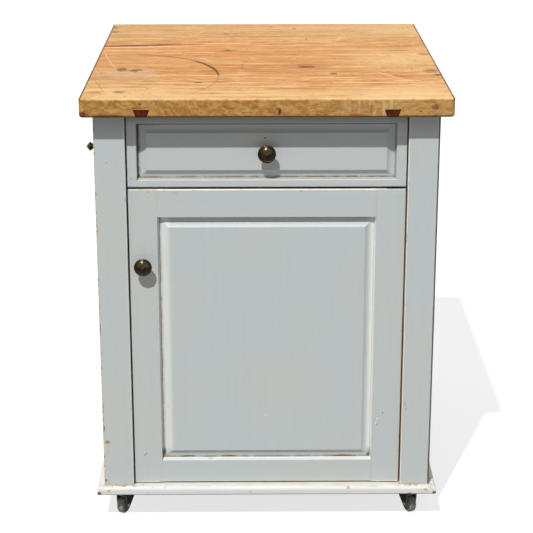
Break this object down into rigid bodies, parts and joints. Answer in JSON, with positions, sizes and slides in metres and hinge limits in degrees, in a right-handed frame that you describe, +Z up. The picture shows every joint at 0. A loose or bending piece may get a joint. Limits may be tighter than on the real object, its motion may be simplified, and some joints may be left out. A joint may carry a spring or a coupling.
{
  "type": "kitchen base cabinet",
  "caption": "Free-standing painted kitchen base cabinet with a thick wooden worktop, a drawer, a panelled door with a shelf behind it, and swivel casters.",
  "frame": {"origin": "on the floor under the middle of the worktop", "axes": "+X to the cabinet's right as seen from the front, -Y out of the front, +Z up"},
  "size_m": [0.64, 0.7, 0.81],
  "materials": {
    "butcher_block": "oiled solid wood, worn, ring-marked and scratched",
    "batten_wood": "dark red-brown hardwood, oiled",
    "painted_wood": "pale blue-grey eggshell paint, worn to the wood at the edges",
    "white_base_paint": "off-white satin paint, chipped at the corners",
    "bare_pine": "bare planed pine",
    "antique_brass": "dark patinated brass, rubbed bright on the high spots",
    "screw_steel": "zinc-plated steel",
    "catch_plastic": "moulded brown plastic",
    "black_steel": "black lacquered pressed steel",
    "axle_steel": "dull riveted steel",
    "wheel_plastic": "hard dark grey moulded tread"
  },
  "bodies": {
    "cabinet": {"back_bottom_rail": "painted_wood", "back_left_post": "painted_wood", "back_panel": "painted_wood", "back_right_post": "painted_wood", "back_top_rail": "painted_wood", "base_board": "white_base_paint", "base_screws": "screw_steel", "bottom_pivot_plate": "antique_brass", "caster_plates": "black_steel", "caster_screws": "screw_steel", "door_catch": "catch_plastic", "dovetail_battens": "batten_wood", "drawer_divider_rail": "painted_wood", "drawer_guides": "bare_pine", "drawer_kickers": "bare_pine", "drawer_runners": "bare_pine", "drawer_stops": "bare_pine", "front_left_post": "painted_wood", "front_right_post": "painted_wood", "front_top_rail": "painted_wood", "left_bottom_rail": "painted_wood", "left_side_panel": "painted_wood", "left_top_rail": "painted_wood", "right_bottom_rail": "painted_wood", "right_side_panel": "painted_wood", "right_top_rail": "painted_wood", "shelf": "bare_pine", "shelf_cleats": "bare_pine", "side_peg": "antique_brass", "top_pivot_plate": "antique_brass", "worktop": "butcher_block", "worktop_screws": "screw_steel"},
    "drawer": {"drawer_front": "painted_wood", "drawer_left_side": "bare_pine", "drawer_right_side": "bare_pine", "drawer_back": "bare_pine", "drawer_bottom": "bare_pine", "drawer_knob": "antique_brass", "drawer_knob_screw": "screw_steel"},
    "door": {"door_left_stile": "painted_wood", "door_right_stile": "painted_wood", "door_top_rail": "painted_wood", "door_bottom_rail": "painted_wood", "door_panel": "painted_wood", "door_knob": "antique_brass", "door_knob_screw": "screw_steel", "pivot_leaves": "antique_brass", "catch_strike": "screw_steel"},
    "front_left_caster": {"front_left_caster_fork": "black_steel", "front_left_caster_axle": "axle_steel"},
    "front_left_wheel": {"front_left_caster_wheel": "wheel_plastic"},
    "front_right_caster": {"front_right_caster_fork": "black_steel", "front_right_caster_axle": "axle_steel"},
    "front_right_wheel": {"front_right_caster_wheel": "wheel_plastic"},
    "back_left_caster": {"back_left_caster_fork": "black_steel", "back_left_caster_axle": "axle_steel"},
    "back_left_wheel": {"back_left_caster_wheel": "wheel_plastic"},
    "back_right_caster": {"back_right_caster_fork": "black_steel", "back_right_caster_axle": "axle_steel"},
    "back_right_wheel": {"back_right_caster_wheel": "wheel_plastic"}
  },
  "joints": [
    {"name": "drawer_slide", "type": "slide", "parent": "cabinet", "child": "drawer", "axis": [0, -1, 0], "range_m": [0, 0.36]},
    {"name": "door_hinge", "type": "hinge", "parent": "cabinet", "child": "door", "pos_m": [0.239, -0.306, 0.0723], "axis": [0, 0, 1], "range_deg": [0, 93]},
    {"name": "front_left_swivel", "type": "hinge", "parent": "cabinet", "child": "front_left_caster", "pos_m": [-0.263, -0.278, 0.04], "axis": [0, 0, 1], "continuous": true},
    {"name": "front_left_wheel_spin", "type": "hinge", "parent": "front_left_caster", "child": "front_left_wheel", "pos_m": [-0.26849, -0.28978, 0.016], "axis": [0.9063, -0.4226, 0], "continuous": true},
    {"name": "front_right_swivel", "type": "hinge", "parent": "cabinet", "child": "front_right_caster", "pos_m": [0.263, -0.278, 0.04], "axis": [0, 0, 1], "continuous": true},
    {"name": "front_right_wheel_spin", "type": "hinge", "parent": "front_right_caster", "child": "front_right_wheel", "pos_m": [0.26849, -0.28978, 0.016], "axis": [0.9063, 0.4226, 0], "continuous": true},
    {"name": "back_left_swivel", "type": "hinge", "parent": "cabinet", "child": "back_left_caster", "pos_m": [-0.263, 0.278, 0.04], "axis": [0, 0, 1], "continuous": true},
    {"name": "back_left_wheel_spin", "type": "hinge", "parent": "back_left_caster", "child": "back_left_wheel", "pos_m": [-0.26849, 0.26622, 0.016], "axis": [0.9063, -0.4226, 0], "continuous": true},
    {"name": "back_right_swivel", "type": "hinge", "parent": "cabinet", "child": "back_right_caster", "pos_m": [0.263, 0.278, 0.04], "axis": [0, 0, 1], "continuous": true},
    {"name": "back_right_wheel_spin", "type": "hinge", "parent": "back_right_caster", "child": "back_right_wheel", "pos_m": [0.26849, 0.26622, 0.016], "axis": [0.9063, 0.4226, 0], "continuous": true}
  ]
}
